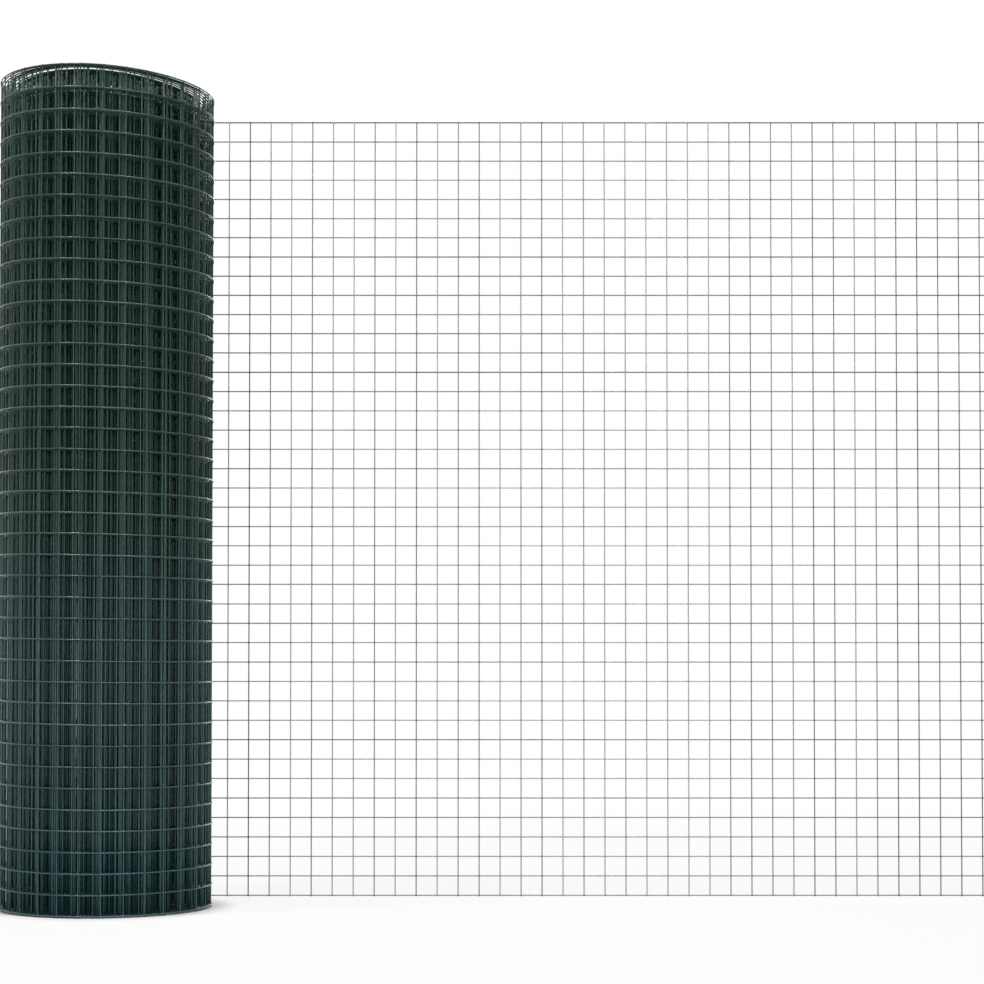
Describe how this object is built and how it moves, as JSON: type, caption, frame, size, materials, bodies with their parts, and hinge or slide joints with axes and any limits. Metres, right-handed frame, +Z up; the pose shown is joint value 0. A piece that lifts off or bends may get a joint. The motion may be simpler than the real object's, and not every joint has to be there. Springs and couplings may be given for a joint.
{
  "type": "roll of wire fencing",
  "caption": "Standing roll of dark green coated welded-wire fencing with an open bore, its loose end drawn off on a tangent as a flat upright mesh.",
  "frame": {"origin": "on the roll's axis, at the floor that its lower end stands on", "axes": "+Z up along the roll's axis, +X along the loose end, away from the roll, +Y towards the side that the loose end leaves the roll on"},
  "size_m": [1.3308, 0.2612, 1.0024],
  "materials": {
    "green_coat": "satin plastic coat, dark green, on galvanised steel wire"
  },
  "bodies": {
    "root": {"wound_roll": "green_coat", "unrolled_mesh_1": "green_coat", "unrolled_mesh_2": "green_coat", "unrolled_mesh_3": "green_coat", "unrolled_mesh_4": "green_coat", "unrolled_mesh_5": "green_coat"}
  },
  "joints": []
}
